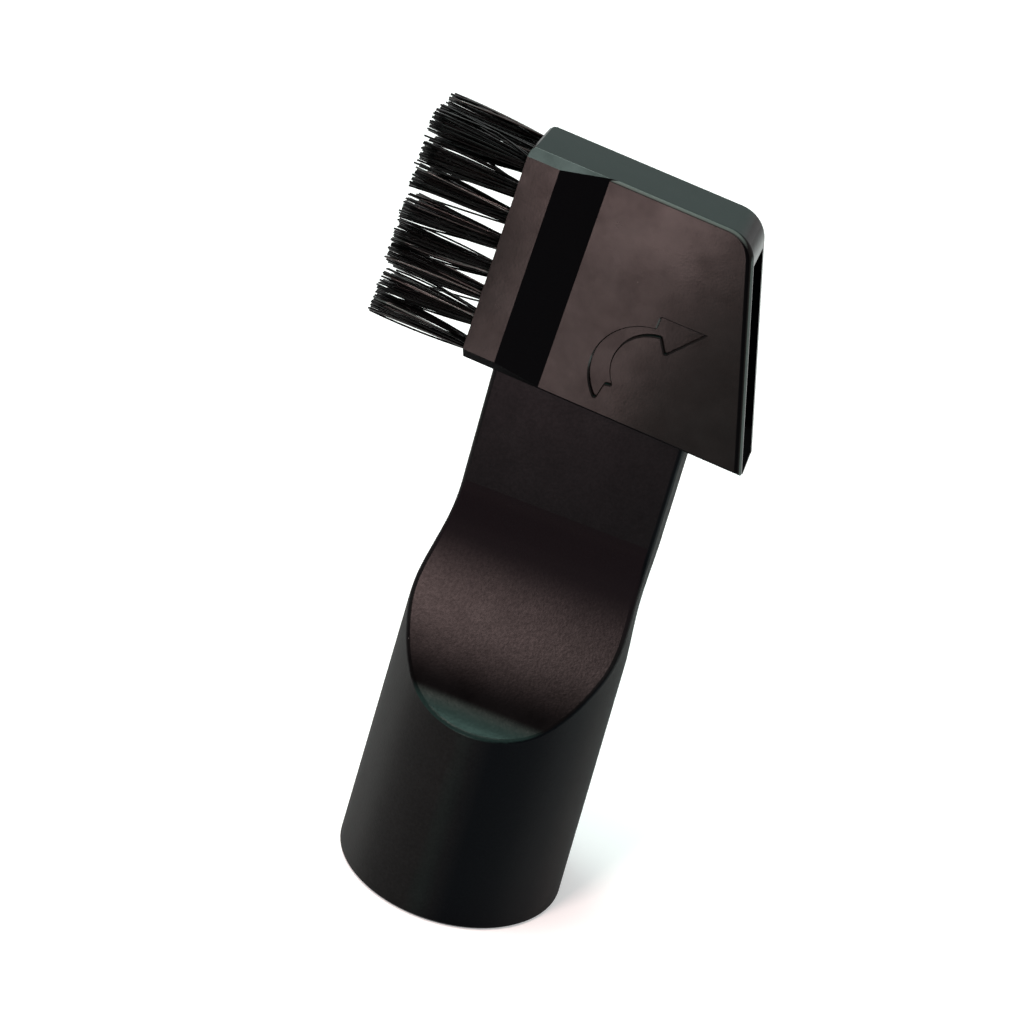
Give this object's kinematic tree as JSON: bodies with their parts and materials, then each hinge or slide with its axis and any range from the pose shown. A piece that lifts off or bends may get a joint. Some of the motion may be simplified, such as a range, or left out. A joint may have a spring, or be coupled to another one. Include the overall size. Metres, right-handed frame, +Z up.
{
  "type": "vacuum crevice tool",
  "caption": "Two-in-one vacuum crevice tool: round push-fit socket, scooped front running into a flat nozzle, and a swivelling hollow head with a bristle brush on one side.",
  "frame": {"origin": "centre of the socket mouth, on the socket axis", "axes": "+Z up the socket axis towards the nozzle tip, -Y out of the scooped front, -X the way the brush points in the stored pose"},
  "size_m": [0.0617, 0.0364, 0.1218],
  "materials": {
    "black_plastic": "satin, very fine moulded texture",
    "bristle": "smooth nylon filament",
    "anchor_wire": "drawn wire"
  },
  "bodies": {
    "nozzle": {"nozzle_body": "black_plastic"},
    "head": {"brush_head": "black_plastic", "bristle_tuft_front_1": "bristle", "bristle_tuft_front_2": "bristle", "bristle_tuft_front_3": "bristle", "bristle_tuft_front_4": "bristle", "bristle_tuft_front_5": "bristle", "bristle_tuft_front_6": "bristle", "bristle_tuft_front_7": "bristle", "bristle_tuft_front_8": "bristle", "bristle_tuft_rear_1": "bristle", "bristle_tuft_rear_2": "bristle", "bristle_tuft_rear_3": "bristle", "bristle_tuft_rear_4": "bristle", "bristle_tuft_rear_5": "bristle", "bristle_tuft_rear_6": "bristle", "bristle_tuft_rear_7": "bristle", "bristle_tuft_rear_8": "bristle", "bristle_tuft_end_1": "bristle", "tuft_anchors": "anchor_wire"}
  },
  "joints": [
    {"name": "head_swivel", "type": "hinge", "parent": "nozzle", "child": "head", "pos_m": [0, 0.0087, 0.09996], "axis": [0, 1, 0], "range_deg": [-3, 87]}
  ]
}
